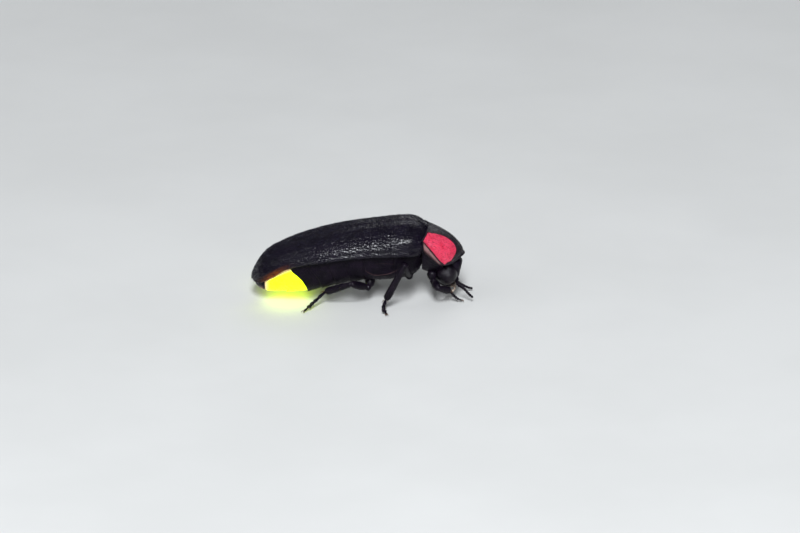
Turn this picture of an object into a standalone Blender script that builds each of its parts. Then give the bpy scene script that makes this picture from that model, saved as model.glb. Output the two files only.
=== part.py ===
"""A firefly at rest, life size: a black beetle with a pink shield and a lit lantern.

The beetle faces +X, its left side is +Y, and its feet stand on z = 0. Shapes are worked
out in millimetres, with x counted forward from the tail tip, and turned into metres
when each node is finished.
"""

import math

import bmesh
import bpy
from mathutils import Vector

MM = 0.001

# Driving sizes, in millimetres.
ORIGIN_X = 5.0
GAP = 0.3
SHELL = 0.5
UPPER_LEG = 0.25
LOWER_LEG = 0.25
FOOT_THICK = 0.24
FOOT_TIP = 0.15
FEELER_ROOT = 0.20
FEELER_TIP = 0.10

# Wing cases: (x, value) along the body.
MARGIN_HEIGHT = (
    (0.0, 0.98),
    (0.2, 0.94),
    (0.4, 1.02),
    (0.67, 1.20),
    (1.0, 1.43),
    (1.65, 1.86),
    (2.4, 2.06),
    (5.4, 2.47),
    (7.5, 2.52),
)
SUTURE_HEIGHT = (
    (0.0, 2.12),
    (1.0, 2.36),
    (2.1, 2.80),
    (3.3, 3.18),
    (4.4, 3.42),
    (5.5, 3.59),
    (7.0, 3.77),
    (7.5, 3.66),
)
CASE_HALF_WIDTH = ((0.0, 1.12), (1.0, 1.30), (2.1, 1.54), (4.0, 1.66), (6.0, 1.65), (7.0, 1.58), (7.5, 1.40))
APEX_LENGTH = 1.0
CASE_FRONT = 7.3
CASE_FRONT_LEAN = 0.2
RIB_HEIGHT = 0.05
RIB_COLUMNS = (3, 6, 9)

# Body below the wing cases.
BODY_HALF_WIDTH = (
    (0.3, 0.70),
    (0.9, 1.00),
    (1.6, 1.20),
    (2.5, 1.32),
    (4.0, 1.38),
    (5.6, 1.34),
    (7.0, 1.20),
    (7.5, 1.06),
)
BELLY_HEIGHT = (
    (0.3, 0.52),
    (0.9, 0.42),
    (1.5, 0.40),
    (2.4, 0.43),
    (3.2, 0.60),
    (4.2, 0.84),
    (5.4, 1.00),
    (7.5, 1.24),
)
LANTERN_BACK = 0.30
LANTERN_FRONT = 2.35
LANTERN_LEAN = -0.55
LANTERN_RISE = 1.46
ABDOMEN_FRONT = 4.85
THORAX_FRONT = 7.42
SEGMENT_STEP = 0.05

# Shield over the head: (x, z) down its middle and along its side, from back to front.
SHIELD_MIDDLE = ((7.86, 3.38), (8.40, 3.19), (8.94, 2.85), (9.32, 2.43), (9.48, 2.10))
SHIELD_SIDE = ((7.56, 3.13), (7.99, 2.61), (8.34, 2.13), (8.60, 1.92), (8.92, 1.86))
SHIELD_HALF_WIDTH = ((0.0, 1.36), (0.25, 1.38), (0.55, 1.30), (0.8, 1.10), (1.0, 0.74))
SHIELD_CENTRE = (7.60, 0.0, 1.30)

# Chest under the shield: (x, half width, bottom, top).
CHEST = (
    (7.74, 0.90, 1.34, 2.42),
    (7.86, 1.00, 1.24, 2.44),
    (8.02, 0.98, 1.22, 2.30),
    (8.16, 0.84, 1.28, 2.04),
)

# Head from crown to muzzle: (z, back, front, half width), and the eyes.
HEAD = (
    (1.66, 8.52, 9.04, 0.20),
    (1.54, 8.46, 9.22, 0.27),
    (1.38, 8.44, 9.28, 0.29),
    (1.15, 8.46, 9.24, 0.29),
    (0.98, 8.52, 9.14, 0.30),
    (0.84, 8.62, 9.04, 0.30),
)
EYE_CENTRE = (8.80, 0.60, 1.24)
EYE_RADIUS = 0.47
EYE_DEPTH = 0.40

# Feelers: places along each, with y counted outwards.
FEELER_JOINTS = 11
FEELER_RIGHT = ((9.46, 0.34, 0.98), (9.50, 0.46, 0.72), (9.66, 0.62, 0.48), (9.94, 0.90, 0.20))
FEELER_LEFT = ((9.46, 0.34, 0.98), (9.50, 0.42, 0.66), (9.66, 0.55, 0.36), (9.98, 0.74, 0.16))

# Legs: body end, hip, knee, ankle, instep and toe of each.
STANCE = {
    "leg_front_right": (
        (8.00, -0.42, 0.92),
        (8.04, -0.62, 0.58),
        (8.52, -1.52, 0.76),
        (8.90, -0.94, 0.32),
        (9.08, -0.86, 0.16),
        (9.32, -0.84, 0.10),
    ),
    "leg_front_left": (
        (8.00, 0.42, 0.92),
        (8.08, 0.62, 0.62),
        (8.24, 1.52, 1.30),
        (8.64, 1.46, 0.38),
        (8.84, 1.52, 0.18),
        (9.20, 1.60, 0.10),
    ),
    "leg_middle_right": (
        (6.92, -0.46, 0.84),
        (6.96, -0.78, 0.58),
        (6.80, -1.94, 2.06),
        (5.98, -1.66, 0.44),
        (5.87, -2.06, 0.22),
        (6.02, -2.48, 0.10),
    ),
    "leg_middle_left": (
        (6.92, 0.46, 0.84),
        (6.94, 0.78, 0.58),
        (6.52, 1.92, 1.86),
        (5.66, 1.96, 0.42),
        (5.54, 2.20, 0.20),
        (5.38, 2.60, 0.10),
    ),
    "leg_hind_right": (
        (5.30, -0.46, 0.66),
        (5.22, -0.74, 0.48),
        (4.46, -1.54, 1.08),
        (3.28, -1.12, 0.54),
        (2.86, -1.50, 0.30),
        (2.38, -2.08, 0.10),
    ),
    "leg_hind_left": (
        (5.30, 0.46, 0.66),
        (5.22, 0.70, 0.48),
        (4.48, 1.82, 1.28),
        (3.26, 1.74, 0.42),
        (2.84, 1.96, 0.22),
        (2.24, 2.30, 0.10),
    ),
}


def smooth(knots, at):
    """Value at a place on a smooth curve through (place, value) knots, with no overshoot."""
    places = [knot[0] for knot in knots]
    values = [knot[1] for knot in knots]
    if at <= places[0]:
        return values[0]
    if at >= places[-1]:
        return values[-1]
    widths = [b - a for a, b in zip(places, places[1:])]
    slopes = [(b - a) / width for a, b, width in zip(values, values[1:], widths)]
    tangents = [slopes[0]]
    for before, after in zip(slopes, slopes[1:]):
        tangents.append(0.0 if before * after <= 0 else 2 * before * after / (before + after))
    tangents.append(slopes[-1])
    i = max(k for k, place in enumerate(places[:-1]) if at >= place)
    t = (at - places[i]) / widths[i]
    low = (2 * t**3 - 3 * t**2 + 1) * values[i] + (t**3 - 2 * t**2 + t) * widths[i] * tangents[i]
    high = (3 * t**2 - 2 * t**3) * values[i + 1] + (t**3 - t**2) * widths[i] * tangents[i + 1]
    return low + high


def ramp(at, low, high):
    """0 below low, 1 above high and a smooth step between them."""
    t = min(max((at - low) / (high - low), 0.0), 1.0)
    return t * t * (3 - 2 * t)


def mix(a, b, t):
    return a + (b - a) * t


def clear_scene():
    for existing in list(bpy.data.objects):
        bpy.data.objects.remove(existing, do_unlink=True)


def material(name, colour, roughness, metallic=0.0):
    made = bpy.data.materials.new(name)
    made.use_nodes = True
    shader = made.node_tree.nodes["Principled BSDF"]
    shader.inputs["Base Color"].default_value = (*colour, 1.0)
    shader.inputs["Roughness"].default_value = roughness
    shader.inputs["Metallic"].default_value = metallic
    return made


def turn_out(work):
    """Turn all faces of a closed body outwards."""
    bmesh.ops.recalc_face_normals(work, faces=work.faces)
    if work.calc_volume(signed=True) < 0:
        bmesh.ops.reverse_faces(work, faces=work.faces)


def new_object(name, points, faces):
    """An object from points in millimetres and faces, all facing out."""
    mesh = bpy.data.meshes.new(name)
    mesh.from_pydata([(p[0] - ORIGIN_X, p[1], p[2]) for p in points], [], faces)
    work = bmesh.new()
    work.from_mesh(mesh)
    turn_out(work)
    work.to_mesh(mesh)
    work.free()
    made = bpy.data.objects.new(name, mesh)
    bpy.context.scene.collection.objects.link(made)
    return made


def loft(name, rings, tip_start=None, tip_end=None):
    """A closed body through rings of points, with flat ends, or pointed ones at given tips."""
    count = len(rings[0])
    points = [p for ring in rings for p in ring]
    faces = []
    for r in range(len(rings) - 1):
        for k in range(count):
            a = r * count + k
            b = r * count + (k + 1) % count
            faces.append((a, b, b + count, a + count))
    for ring_index, tip in ((0, tip_start), (len(rings) - 1, tip_end)):
        first = ring_index * count
        if tip is None:
            faces.append(tuple(first + k for k in range(count)))
        else:
            points.append(tip)
            for k in range(count):
                faces.append((first + k, first + (k + 1) % count, len(points) - 1))
    return new_object(name, points, faces)


def finish(made, kind):
    """Turn a node from millimetres to metres and give it its material and smooth round sides."""
    work = bmesh.new()
    work.from_mesh(made.data)
    bmesh.ops.scale(work, vec=(MM, MM, MM), verts=work.verts)
    bmesh.ops.triangulate(work, faces=work.faces)
    turn_out(work)
    work.to_mesh(made.data)
    work.free()
    made.data.materials.clear()
    made.data.materials.append(kind)
    made.data.shade_smooth()
    made.data.set_sharp_from_angle(angle=math.radians(40))
    return made


def keep_largest(made):
    """Drop all but the closed surface with the most faces."""
    work = bmesh.new()
    work.from_mesh(made.data)
    left = set(work.faces)
    groups = []
    while left:
        group = [left.pop()]
        for face in group:
            for edge in face.edges:
                for other in edge.link_faces:
                    if other in left:
                        left.remove(other)
                        group.append(other)
        groups.append(group)
    groups.sort(key=len, reverse=True)
    for group in groups[1:]:
        bmesh.ops.delete(work, geom=group, context="FACES")
    loose = [v for v in work.verts if not v.link_faces]
    bmesh.ops.delete(work, geom=loose, context="VERTS")
    work.to_mesh(made.data)
    work.free()


def cut_or_join(made, others, operation):
    """Apply one Boolean on a collection of closed bodies, which are then removed."""
    group = bpy.data.collections.new(made.name + "_pieces")
    bpy.context.scene.collection.children.link(group)
    for other in others:
        group.objects.link(other)
        bpy.context.scene.collection.objects.unlink(other)
    change = made.modifiers.new("join", "BOOLEAN")
    change.operation = operation
    change.solver = "MANIFOLD"
    change.operand_type = "COLLECTION"
    change.collection = group
    bpy.context.view_layer.update()
    graph = bpy.context.evaluated_depsgraph_get()
    result = bpy.data.meshes.new_from_object(made.evaluated_get(graph))
    made.modifiers.clear()
    made.data = result
    for other in others:
        bpy.data.objects.remove(other, do_unlink=True)
    bpy.data.collections.remove(group)
    keep_largest(made)
    return made


def tube(name, path, radii, sides=8, flat=1.0, up=(0.0, 0.0, 1.0), round_ends=True):
    """A round or flattened rod along a path of points, with a radius at each point."""
    path = [Vector(p) for p in path]
    rings = []
    for i, point in enumerate(path):
        ahead = path[min(i + 1, len(path) - 1)]
        behind = path[max(i - 1, 0)]
        along = (ahead - behind).normalized()
        side = along.cross(Vector(up)).normalized()
        top = side.cross(along).normalized()
        ring = []
        for k in range(sides):
            angle = 2 * math.pi * (k + 0.5) / sides
            across = side * (radii[i] * math.cos(angle))
            ring.append(point + across + top * (radii[i] * flat * math.sin(angle)))
        rings.append(ring)
    start = None
    end = None
    if round_ends:
        start = path[0] + (path[0] - path[1]).normalized() * radii[0] * 0.45
        end = path[-1] + (path[-1] - path[-2]).normalized() * radii[-1] * 0.45
    return loft(name, rings, start, end)


def spindle(name, start, end, radii, sides=8, rings=5, bow=(0.0, 0.0, 0.0), flat=1.0, up=(0.0, 0.0, 1.0)):
    """A limb between two points: radii at start, middle and end, bowed a little to one side."""
    start = Vector(start)
    end = Vector(end)
    path = []
    sizes = []
    knots = ((0.0, radii[0]), (0.5, radii[1]), (1.0, radii[2]))
    for k in range(rings):
        t = k / (rings - 1)
        path.append(start.lerp(end, t) + Vector(bow) * (4 * t * (1 - t)))
        sizes.append(smooth(knots, t))
    length = (end - start).length
    along = (end - start).normalized()
    cap = min(radii[2], length * 0.3)
    path.append(path[-1] + along * cap * 0.6)
    sizes.append(sizes[-1] * 0.72)
    return tube(name, path, sizes, sides, flat, up)


def case_section(x, side, rib):
    """Points across one wing case at x: over the top from the suture, then back underneath."""
    rounding = math.sqrt(max(1 - (1 - min(x / APEX_LENGTH, 1.0)) ** 2, 0.0))
    low = smooth(MARGIN_HEIGHT, x)
    high = mix(low, smooth(SUTURE_HEIGHT, x), rounding)
    half_width = max(smooth(CASE_HALF_WIDTH, x) * rounding, GAP / 2 + 0.05)
    hollow = ramp(x, 0.8, 1.5)
    lean = CASE_FRONT_LEAN * ramp(x, CASE_FRONT - 0.5, CASE_FRONT)
    across = 12
    under = 6
    points = []
    for k in range(across + 1):
        angle = 0.5 * math.pi * k / across
        raised = rib if k in RIB_COLUMNS else 0.0
        y = mix(GAP / 2, half_width + raised, math.sin(angle) ** 0.93)
        z = low + (high - low + raised) * max(math.cos(angle), 0.0) ** 0.93
        points.append((x + lean * (z - low) / max(high - low, 0.1), side * y, z))
    inner_width = max(half_width - SHELL, mix(GAP / 2, half_width, 0.4))
    inner_height = max(high - low - SHELL, 0.0) * hollow
    for k in range(under + 1):
        angle = 0.5 * math.pi * (1 - k / under)
        y = mix(GAP / 2, inner_width, math.sin(angle))
        z = low + inner_height * math.cos(angle)
        points.append((x + lean * (z - low) / max(high - low, 0.1), side * y, z))
    return points


def wing_case(name, side):
    """One wing case: a thick curved shell with three low ribs along it."""
    stations = [APEX_LENGTH * (1 - math.cos(math.radians(angle))) for angle in (14, 26, 38, 50, 62, 74, 86)]
    steps = 18
    stations += [mix(APEX_LENGTH * 1.12, CASE_FRONT, k / steps) for k in range(steps + 1)]
    rings = []
    for x in stations:
        rib = RIB_HEIGHT * ramp(x, 0.4, 1.4) * (1 - ramp(x, CASE_FRONT - 1.2, CASE_FRONT - 0.3))
        rings.append(case_section(x, side, rib))
    return loft(name, rings)


def slant(lean, rise):
    """How far a plate's edge runs back at a height above the belly."""
    kept = min(max(rise, 0.0), LANTERN_RISE)
    return lean * kept * kept / LANTERN_RISE


def body_section(x, lean, step, roof):
    """Points round the body at x, slanted by lean and drawn in by step."""
    half = []
    cavity = ramp(x, 1.2, 2.0) * roof

    def at(px):
        low = smooth(MARGIN_HEIGHT, px) - GAP
        top = smooth(SUTURE_HEIGHT, px) - SHELL - GAP
        return low, low + max(top - low, 0.0) * cavity, smooth(CASE_HALF_WIDTH, px) - SHELL - GAP

    floor_here = smooth(BELLY_HEIGHT, x)
    ridge_steps = 4
    side_steps = 8
    for k in range(ridge_steps + 1):
        angle = 0.5 * math.pi * k / ridge_steps
        low, top, width = at(x)
        px = x + slant(lean, mix(low, top, math.cos(angle)) - floor_here)
        low, top, width = at(px)
        half.append((px, width * math.sin(angle), mix(low, top, max(math.cos(angle), 0.0))))
    for k in range(side_steps + 1):
        angle = 0.5 * math.pi * k / side_steps
        drop = math.sin(angle) ** 0.8
        px = x + slant(lean, mix(at(x)[0], floor_here, drop) - floor_here)
        low = at(px)[0]
        wide = smooth(BODY_HALF_WIDTH, px) - step
        floor = smooth(BELLY_HEIGHT, px) + step
        half.append((px, wide * max(math.cos(angle), 0.0) ** 0.8, mix(low, floor, drop)))
    half[-1] = (half[-1][0], 0.0, half[-1][2])
    half[0] = (half[0][0], 0.0, half[0][2])
    mirrored = [(p[0], -p[1], p[2]) for p in reversed(half[1:-1])]
    return half + mirrored


def body_length(name, back, front, segments, lean_back=0.0, lean_front=0.0, roof=1.0):
    """A length of the body, in overlapping rings from back to front."""
    rings = []
    for segment in range(segments):
        start = mix(back, front, segment / segments)
        stop = mix(back, front, (segment + 1) / segments)
        for t, step in ((0.0, 0.0), (0.45, 0.0), (0.9, SEGMENT_STEP * 0.6), (0.97, SEGMENT_STEP)):
            x = mix(start, stop, t)
            share = (x - back) / (front - back)
            rings.append(body_section(x, mix(lean_back, lean_front, share), step, roof))
    rings.append(body_section(front, lean_front, 0.0, roof))
    return loft(name, rings)


def shield_point(along, across):
    """Outer surface of the shield: along 0 to 1 from back to front, across -1 to 1."""
    place = along * (len(SHIELD_MIDDLE) - 1)
    middle_x = smooth([(k, p[0]) for k, p in enumerate(SHIELD_MIDDLE)], place)
    middle_z = smooth([(k, p[1]) for k, p in enumerate(SHIELD_MIDDLE)], place)
    side_x = smooth([(k, p[0]) for k, p in enumerate(SHIELD_SIDE)], place)
    side_z = smooth([(k, p[1]) for k, p in enumerate(SHIELD_SIDE)], place)
    spread = abs(across)
    x = mix(middle_x, side_x, spread**2)
    y = across * smooth(SHIELD_HALF_WIDTH, along)
    z = mix(middle_z, side_z, 0.75 * spread**2 + 0.25 * spread**4)
    return Vector((x, y, z))


def shield(name):
    """The shield that roofs the head: a curved plate of even thickness."""
    rows = 12
    columns = 16
    outer = []
    inner = []
    for i in range(rows + 1):
        for j in range(columns + 1):
            along = i / rows
            across = -1 + 2 * j / columns
            point = shield_point(along, across)
            outer.append(point)
            inner.append(point - (point - Vector(SHIELD_CENTRE)).normalized() * SHELL)
    points = outer + inner
    count = len(outer)
    faces = []
    for i in range(rows):
        for j in range(columns):
            a = i * (columns + 1) + j
            b = a + 1
            c = b + columns + 1
            d = a + columns + 1
            faces.append((a, b, c, d))
            faces.append((count + a, count + d, count + c, count + b))
    edge = [j for j in range(columns)]
    edge += [i * (columns + 1) + columns for i in range(rows)]
    edge += [rows * (columns + 1) + columns - j for j in range(columns)]
    edge += [(rows - i) * (columns + 1) for i in range(rows)]
    for a, b in zip(edge, edge[1:] + edge[:1]):
        faces.append((a, b, count + b, count + a))
    return new_object(name, points, faces)


def front_thorax(name):
    """The block under the shield that carries the front legs."""
    rings = []
    for x, wide, low, high in CHEST:
        ring = []
        sides = 18
        for k in range(sides):
            angle = 2 * math.pi * k / sides
            c = math.cos(angle)
            s = math.sin(angle)
            y = wide * math.copysign(abs(c) ** 0.75, c)
            z = (low + high) / 2 + (high - low) / 2 * math.copysign(abs(s) ** 0.75, s)
            ring.append((x, y, z))
        rings.append(ring)
    return loft(name, rings)


def head(name):
    """The head between the eyes, from the crown down to the muzzle."""
    rings = []
    for z, back, front, half_width in HEAD:
        ring = []
        sides = 14
        for k in range(sides):
            angle = 2 * math.pi * k / sides
            c = math.cos(angle)
            s = math.sin(angle)
            x = (back + front) / 2 + (front - back) / 2 * math.copysign(abs(c) ** 0.85, c)
            y = half_width * math.copysign(abs(s) ** 0.6, s)
            ring.append((x, y, z))
        rings.append(ring)
    return loft(name, rings)


def eye(name, side):
    """One large round eye: a dome with a flat inner face."""
    rings = []
    for depth in (0.0, 0.25, 0.5, 0.72, 0.9):
        radius = EYE_RADIUS * math.sqrt(1 - depth**2)
        y = EYE_CENTRE[1] + EYE_DEPTH * depth
        ring = []
        sides = 16
        for k in range(sides):
            angle = 2 * math.pi * k / sides
            x = EYE_CENTRE[0] + radius * math.cos(angle)
            z = EYE_CENTRE[2] + radius * math.sin(angle)
            ring.append((x, side * y, z))
        rings.append(ring)
    tip = (EYE_CENTRE[0], side * (EYE_CENTRE[1] + EYE_DEPTH), EYE_CENTRE[2])
    return loft(name, rings, None, tip)


def mouthparts(name):
    """Jaws and two pairs of feelers at the mouth, as one piece below the muzzle."""
    base = spindle(name, (8.64, 0.0, 0.40), (8.96, 0.0, 0.38), (0.22, 0.26, 0.20), sides=12, flat=0.6)
    pieces = []
    for side in (-1, 1):
        jaw = ((8.90, side * 0.10, 0.36), (9.00, side * 0.10, 0.20))
        pieces.append(spindle(name + "_jaw", *jaw, (0.09, 0.08, 0.04), sides=6, rings=3))
        palp = ((8.74, side * 0.16, 0.36), (8.84, side * 0.36, 0.18))
        pieces.append(spindle(name + "_palp", *palp, (0.09, 0.10, 0.07), sides=6, rings=3))
    return cut_or_join(base, pieces, "UNION")


def bent_path(knots, steps):
    """Points evenly spread along a smooth curve through three-dimensional knots."""
    curve = []
    for k in range(steps + 1):
        place = k / steps * (len(knots) - 1)
        curve.append(tuple(smooth([(i, p[axis]) for i, p in enumerate(knots)], place) for axis in range(3)))
    return curve


def antenna(name, side, knots):
    """A feeler of eleven joints that hangs before the face and bends forward near the ground."""
    per_joint = 3
    path = bent_path([(x, side * y, z) for x, y, z in knots], FEELER_JOINTS * per_joint)
    radii = []
    for k in range(len(path)):
        t = k / (len(path) - 1)
        phase = (k % per_joint) / per_joint
        swell = 0.86 if phase == 0 else 1.0 + 0.04 * phase
        radii.append(mix(FEELER_ROOT, FEELER_TIP, t) * swell)
    return tube(name, path, radii, sides=8, up=(0.0, 1.0, 0.0))


def foot(name, ankle, instep, toe, radii):
    """Five foot joints from the ankle to the toe, the fourth with two lobes, then two claws."""
    bend = instep * 2 - (ankle + toe) * 0.5
    along = (toe - instep).normalized()
    across = along.cross(Vector((0, 0, 1))).normalized()
    ends = [ankle.lerp(bend, t).lerp(bend.lerp(toe, t), t) for t in (0.0, 0.30, 0.50, 0.68, 0.82, 1.0)]
    pieces = []
    for k in range(5):
        thick = mix(radii[0], radii[1], (k + 0.5) / 5)
        start = ends[k]
        stop = ends[k + 1]
        if k == 3:
            for lobe in (-1, 1):
                tip = stop + across * (lobe * thick * 0.6)
                sizes = (thick * 0.7, thick * 0.8, thick * 0.6)
                pieces.append(spindle(name + "_lobe", start, tip, sizes, 6, 3))
        else:
            pieces.append(spindle(name + "_joint", start, stop, (thick * 0.78, thick * 0.9, thick), 6, 3))
    for hook in (-1, 1):
        claw_tip = toe + along * 0.18 + across * (hook * 0.12) - Vector((0, 0, 0.03))
        pieces.append(spindle(name + "_claw", toe, claw_tip, (0.08, 0.06, 0.025), 5, 3))
    return pieces


def leg(name, *places):
    """One leg: a short hip piece, a thigh, a shin with two spurs, and the foot."""
    root, hip, knee, ankle, instep, toe = [Vector(place) for place in places]
    hip_path = [root, root.lerp(hip, 0.5), hip]
    made = tube(name, hip_path, (0.30, 0.30, 0.25), 10, 1.0, (1.0, 0.0, 0.0), False)
    pieces = [spindle(name + "_thigh", hip, knee, (0.22, UPPER_LEG, 0.20), 10, 6, up=(1.0, 0.0, 0.0))]
    pieces.append(spindle(name + "_shin", knee, ankle, (0.20, LOWER_LEG, 0.21), 10, 5, up=(0.0, 1.0, 0.0)))
    forward = (toe - ankle).normalized()
    across = forward.cross(Vector((0, 0, 1))).normalized()
    for spur in (-1, 1):
        tip = ankle + forward * 0.16 + across * (spur * 0.22) + (ankle - knee).normalized() * 0.14
        pieces.append(spindle(name + "_spur", ankle, tip, (0.10, 0.08, 0.03), 5, 3))
    pieces += foot(name, ankle, instep, toe, (FOOT_THICK, FOOT_TIP))
    join = cut_or_join(made, pieces, "UNION")
    ground = new_object(name + "_ground", *slab(-2.0, 0.0))
    return cut_or_join(join, [ground], "DIFFERENCE")


def slab(low, high):
    """Corner points and faces of a wide flat block between two heights."""
    reach = 14.0
    points = [(x, y, z) for z in (low, high) for y in (-reach, reach) for x in (-reach, reach * 2)]
    faces = [(0, 1, 3, 2), (4, 6, 7, 5), (0, 4, 5, 1), (1, 5, 7, 3), (3, 7, 6, 2), (2, 6, 4, 0)]
    return points, faces


def main():
    clear_scene()
    black = material("black_shell", (0.012, 0.010, 0.016), 0.45)
    body_black = material("black_body", (0.016, 0.013, 0.018), 0.55)
    leg_black = material("black_legs", (0.014, 0.011, 0.014), 0.50)
    pink = material("pink_shield", (0.80, 0.06, 0.11), 0.45)
    eye_black = material("eye", (0.006, 0.005, 0.007), 0.15)
    light = material("lantern", (0.95, 0.90, 0.25), 0.50)
    pale = material("mouth", (0.16, 0.10, 0.07), 0.45)

    for word, side in (("right", -1), ("left", 1)):
        finish(wing_case("elytron_" + word, side), black)
        finish(eye("eye_" + word, side), eye_black)
    lantern_cut = GAP * 1.12
    finish(body_length("lantern", LANTERN_BACK, LANTERN_FRONT, 2, 0.0, LANTERN_LEAN, 0.0), light)
    start = LANTERN_FRONT + lantern_cut
    finish(body_length("abdomen", start, ABDOMEN_FRONT, 4, LANTERN_LEAN, 0.0), body_black)
    finish(body_length("thorax", ABDOMEN_FRONT + GAP, THORAX_FRONT, 2), body_black)
    finish(front_thorax("prothorax"), body_black)
    finish(shield("pronotum"), pink)
    finish(head("head"), body_black)
    finish(mouthparts("mouthparts"), pale)
    finish(antenna("antenna_right", -1, FEELER_RIGHT), leg_black)
    finish(antenna("antenna_left", 1, FEELER_LEFT), leg_black)
    for name, places in STANCE.items():
        finish(leg(name, *places), leg_black)


main()
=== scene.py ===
"""Looks of a firefly at rest: skins, eyes, hairs, lit lantern, floor, light and camera.

Shapes are worked out in millimetres with x counted forward from the tail tip, and turned
into metres in the frame's own place when each mesh is made.
"""

import math

import bpy
import numpy as np
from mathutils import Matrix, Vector


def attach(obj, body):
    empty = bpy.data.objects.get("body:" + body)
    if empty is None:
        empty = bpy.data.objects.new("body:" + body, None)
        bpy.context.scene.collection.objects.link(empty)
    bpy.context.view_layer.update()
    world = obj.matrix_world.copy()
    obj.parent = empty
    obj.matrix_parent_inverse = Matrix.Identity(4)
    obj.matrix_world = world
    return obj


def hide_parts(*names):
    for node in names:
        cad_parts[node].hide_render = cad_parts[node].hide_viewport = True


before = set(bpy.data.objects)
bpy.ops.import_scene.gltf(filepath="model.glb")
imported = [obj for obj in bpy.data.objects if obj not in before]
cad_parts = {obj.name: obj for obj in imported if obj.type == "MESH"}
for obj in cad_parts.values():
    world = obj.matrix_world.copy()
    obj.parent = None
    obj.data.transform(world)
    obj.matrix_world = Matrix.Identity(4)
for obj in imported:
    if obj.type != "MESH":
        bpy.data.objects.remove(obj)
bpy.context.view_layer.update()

MM = 0.001
ORIGIN_X = 5.0

# Wing cases: (x, value) along the body.
MARGIN_HEIGHT = (
    (0.0, 0.98), (0.2, 0.94), (0.4, 1.02), (0.67, 1.20), (1.0, 1.43),
    (1.65, 1.87), (2.4, 2.07), (5.4, 2.47), (7.5, 2.52), (7.9, 2.58),
)
SUTURE_HEIGHT = (
    (0.0, 2.12), (1.0, 2.36), (2.1, 2.79), (3.3, 3.17), (4.4, 3.41),
    (5.5, 3.57), (7.0, 3.73), (7.5, 3.62), (7.9, 3.38),
)
CASE_HALF_WIDTH = (
    (0.0, 1.12), (1.0, 1.30), (2.1, 1.54), (4.0, 1.66),
    (6.0, 1.65), (7.0, 1.60), (7.5, 1.50), (7.9, 1.32),
)
APEX_LENGTH = 1.2
APEX_SLOPE = 1.3
CASE_FRONT = 7.84
SUTURE_GAP = 0.008
CASE_THICK = 0.06
RIB_ANGLES = (22.0, 44.0, 66.0)
RIB_HEIGHT = 0.016
RIB_WIDTH = 2.6
SHOULDER_START = 7.30
SHOULDER_CENTRE = 2.20
SHOULDER_TUCK = 0.20
FOLD = 0.08
FOLD_RADIUS = 0.05
FOLD_DEPTH = 0.09
PIT_SPACING = 0.095
PIT_DEPTH = 0.0020

# Body below the wing cases.
BODY_HALF_WIDTH = (
    (0.2, 0.62), (0.45, 0.84), (0.9, 1.02), (1.6, 1.22), (2.5, 1.36),
    (4.0, 1.42), (5.6, 1.38), (7.0, 1.24), (7.35, 1.10), (7.7, 0.84),
)
BELLY_HEIGHT = (
    (0.2, 0.58), (0.45, 0.50), (0.9, 0.42), (1.5, 0.40), (2.4, 0.43),
    (3.2, 0.60), (4.2, 0.84), (5.4, 0.98), (6.2, 0.98), (6.9, 1.12),
    (7.3, 1.26), (7.7, 1.50),
)
TAIL_BACK = 0.16
TAIL_FRONT = 0.75
LANTERN_BACK = 0.60
LANTERN_FRONT = 2.50
LANTERN_LEAN = -0.55
LANTERN_RISE = 1.46
ABDOMEN_FRONT = 5.0
THORAX_FRONT = 7.68
# One plate of the body, from back to front: (share, how far it stands out).
PLATE_SWELL = (
    (0.0, -0.025), (0.015, 0.008), (0.05, 0.026), (0.14, 0.024), (0.3, 0.017),
    (0.5, 0.010), (0.7, 0.002), (0.86, -0.006), (0.97, -0.02),
)

# Rims of the chest's side plates: outline as (x, z), thickness and how pale, the paleness being a
# painted highlight along each rim.
SIDE_RIMS = (
    (
        ((5.06, 1.74), (5.25, 1.57), (5.54, 1.44), (5.90, 1.46), (6.22, 1.56), (6.50, 1.72)),
        0.016, 0.13,
    ),
    (((5.06, 2.02), (5.80, 2.06), (6.40, 2.00), (6.82, 1.88)), 0.013, 0.03),
    (((6.84, 2.30), (6.72, 1.98), (6.76, 1.66), (6.92, 1.44)), 0.013, 0.03),
)
RIM_TAPER = ((0.0, 0.4), (0.3, 1.0), (0.7, 1.0), (1.0, 0.3))
RIM_STEPS = 40

# Shield over the head, (x, z) down its middle and along its side, from back to front.
SHIELD_MIDDLE = ((7.86, 3.38), (8.40, 3.19), (8.94, 2.85), (9.32, 2.43), (9.48, 2.10))
SHIELD_SIDE = ((7.56, 3.13), (7.99, 2.61), (8.34, 2.13), (8.58, 1.90), (8.92, 1.84))
SHIELD_HALF_WIDTH = ((0.0, 1.36), (0.25, 1.38), (0.55, 1.30), (0.8, 1.10), (1.0, 0.74))
SHIELD_CENTRE = (7.60, 0.0, 1.30)
SHIELD_THICK = 0.09
BAND_HALF_WIDTH = (
    (0.0, 0.74), (0.2, 0.56), (0.45, 0.42), (0.60, 0.45),
    (0.72, 0.62), (0.80, 0.86), (1.0, 1.0),
)

# Head, by height: its face, its back and its half width.
HEAD_FACE = (
    (0.54, 8.98), (0.70, 9.02), (0.85, 9.09), (1.00, 9.18), (1.20, 9.30),
    (1.45, 9.375), (1.70, 9.41), (1.84, 9.40), (1.94, 9.34),
)
HEAD_BACK = ((0.54, 8.46), (0.80, 8.24), (1.20, 8.12), (1.94, 8.40))
HEAD_HALF_WIDTH = ((0.54, 0.26), (0.70, 0.34), (1.00, 0.48), (1.40, 0.58), (1.94, 0.50))
HEAD_MIDDLE = 1.22
HEAD_REACH = 0.73
EYE_CENTRE = (8.68, 0.50, 1.27)
EYE_RADIUS = 0.47
JAW = ((8.98, 0.17, 0.60), (9.06, 0.17, 0.50), (9.07, 0.10, 0.41), (9.04, 0.01, 0.37))
PALP = (
    (8.86, 0.22, 0.64), (8.96, 0.33, 0.67), (9.05, 0.35, 0.57),
    (9.02, 0.35, 0.44), (8.86, 0.33, 0.36), (8.70, 0.31, 0.37),
)
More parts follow.
